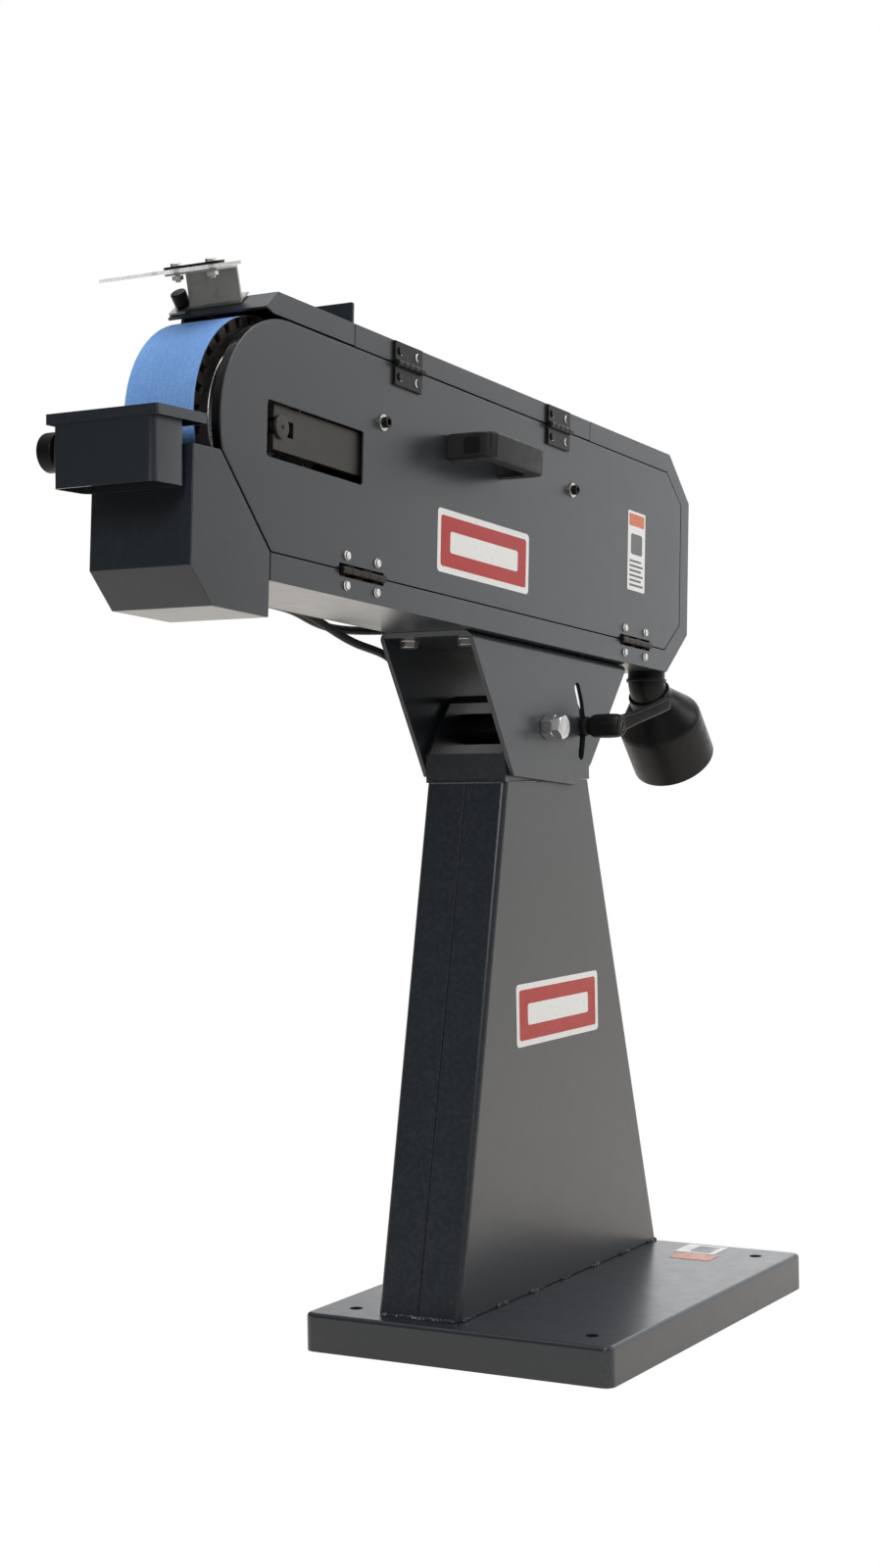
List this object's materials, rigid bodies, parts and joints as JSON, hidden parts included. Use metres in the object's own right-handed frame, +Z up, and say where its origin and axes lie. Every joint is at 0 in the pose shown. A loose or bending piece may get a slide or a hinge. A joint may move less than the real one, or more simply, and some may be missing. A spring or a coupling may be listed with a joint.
{
  "type": "belt grinder",
  "caption": "Pedestal belt grinder: tilting belt head on a tapered column, notched contact wheel, side door, work rest, eye shield and dust outlet.",
  "frame": {"origin": "on the floor, at the middle of the base's front flange, 235 mm in front of the centre of the base", "axes": "+X from the nose of the head towards its rear, +Z up; the door faces -Y and the motor +Y"},
  "size_m": [1.1118, 0.5075, 1.063],
  "materials": {
    "slate_paint": "fine-textured slate grey powder coat",
    "motor_paint": "smooth dark grey enamel",
    "black_metal": "satin black",
    "zinc": "bright zinc plated",
    "machined_steel": "machined",
    "machined_aluminium": "turned",
    "satin_plate": "satin",
    "black_plastic": "fine grained black",
    "green_plastic": "glossy",
    "red_plastic": "glossy",
    "cable_rubber": "satin black",
    "tyre_rubber": "matt, dusty",
    "abrasive_cloth": "blue zirconia grit on cloth",
    "clear_sheet": "clear"
  },
  "bodies": {
    "stand": {"base_plate": "slate_paint", "column_near_shell": "slate_paint", "column_far_shell": "slate_paint", "pivot_yoke": "slate_paint", "pivot_tube": "black_metal", "pivot_bolt": "zinc", "pivot_lock_nut": "zinc", "pivot_end_nut": "zinc"},
    "lever": {"clamp_lever": "black_plastic"},
    "head": {"cradle": "slate_paint", "cradle_bolt_1": "zinc", "cradle_bolt_2": "zinc", "cradle_bolt_3": "zinc", "cradle_bolt_4": "zinc", "head_frame": "slate_paint", "back_panel": "slate_paint", "spark_hopper": "slate_paint", "dust_elbow": "black_plastic", "dust_reducer": "black_plastic", "abrasive_belt": "abrasive_cloth", "wheel_support_arm": "machined_steel", "tension_spring": "zinc", "motor_body": "motor_paint", "motor_fan_cowl": "black_metal", "top_platen": "machined_steel", "switch_box": "black_plastic", "motor_cable": "cable_rubber", "supply_cable": "cable_rubber", "front_guard": "slate_paint", "rest_arm": "machined_steel", "door_hinge_front_frame_leaf": "zinc", "door_hinge_rear_frame_leaf": "zinc"},
    "start_push": {"start_button": "green_plastic"},
    "stop_push": {"stop_button": "red_plastic"},
    "tension_carriage": {"contact_axle": "machined_steel", "tension_slide": "machined_steel"},
    "tracking": {"tracking_knob": "black_plastic"},
    "contact_wheel": {"contact_tyre": "tyre_rubber", "contact_wheel_hub": "machined_aluminium", "wheel_bearing_near": "machined_steel", "wheel_bearing_far": "machined_steel"},
    "drive": {"drive_wheel": "machined_aluminium", "motor_shaft": "machined_steel"},
    "door": {"door_panel": "slate_paint", "door_handle": "black_plastic", "door_screw_front": "zinc", "door_screw_rear": "zinc", "door_hinge_front_door_leaf": "zinc", "door_hinge_rear_door_leaf": "zinc", "lid_hinge_front_door_leaf": "black_metal", "lid_hinge_rear_door_leaf": "black_metal"},
    "lid": {"lid_panel": "slate_paint", "lid_hinge_front_lid_leaf": "black_metal", "lid_hinge_rear_lid_leaf": "black_metal"},
    "shield": {"shield_bracket": "satin_plate", "eye_shield": "clear_sheet", "shield_clamp": "black_metal"},
    "shield_lock": {"guard_knob": "black_plastic"},
    "rest": {"work_rest": "slate_paint"},
    "rest_lock": {"rest_knob": "black_plastic"}
  },
  "joints": [
    {"name": "head_tilt", "type": "hinge", "parent": "stand", "child": "head", "pos_m": [0.21, 0.054, 0.646], "axis": [0, 1, 0], "range_deg": [-20, 28]},
    {"name": "clamp_lever_turn", "type": "hinge", "parent": "stand", "child": "lever", "pos_m": [0.29999, 0, 0.64726], "axis": [0, 1, 0], "range_deg": [-60, 0]},
    {"name": "start_press", "type": "slide", "parent": "head", "child": "start_push", "axis": [0, 1, 0], "range_m": [-0.004, 0]},
    {"name": "stop_press", "type": "slide", "parent": "head", "child": "stop_push", "axis": [0, 1, 0], "range_m": [-0.004, 0]},
    {"name": "belt_tension", "type": "slide", "parent": "head", "child": "tension_carriage", "axis": [0.9972, 0, -0.075], "range_m": [0, 0.012], "deforming": ["tension_spring"]},
    {"name": "tracking_turn", "type": "hinge", "parent": "tension_carriage", "child": "tracking", "pos_m": [-0.2784, 0.118, 0.91237], "axis": [0, 1, 0], "range_deg": [-180, 180]},
    {"name": "contact_wheel_spin", "type": "hinge", "parent": "tension_carriage", "child": "contact_wheel", "pos_m": [-0.30433, 0.0535, 0.91432], "axis": [0, 1, 0], "continuous": true},
    {"name": "drive_spin", "type": "hinge", "parent": "head", "child": "drive", "pos_m": [0.38074, 0.0535, 0.86281], "axis": [0, 1, 0], "continuous": true},
    {"name": "door_swing", "type": "hinge", "parent": "head", "child": "door", "pos_m": [0.11881, -0.0125, 0.76693], "axis": [0.9972, 0, -0.075], "range_deg": [0, 70]},
    {"name": "lid_swing", "type": "hinge", "parent": "door", "child": "lid", "pos_m": [0.07188, -0.0153, 0.98306], "axis": [0.9972, 0, -0.075], "range_deg": [0, 170]},
    {"name": "shield_adjust", "type": "slide", "parent": "head", "child": "shield", "axis": [0.7764, 0, 0.6302], "range_m": [-0.004, 0.004]},
    {"name": "shield_knob_turn", "type": "hinge", "parent": "head", "child": "shield_lock", "pos_m": [-0.31735, 0.0865, 1.02844], "axis": [-0.6302, 0, 0.7764], "range_deg": [-180, 180]},
    {"name": "rest_slide", "type": "slide", "parent": "head", "child": "rest", "axis": [0.9998, 0, -0.0175], "range_m": [-0.01, 0]},
    {"name": "rest_knob_turn", "type": "hinge", "parent": "head", "child": "rest_lock", "pos_m": [-0.47309, 0.107, 0.88389], "axis": [0, 1, 0], "range_deg": [-180, 180]}
  ],
  "couplings": [
    {"joint": "contact_wheel_spin", "follows": "drive_spin", "ratio": 1}
  ]
}
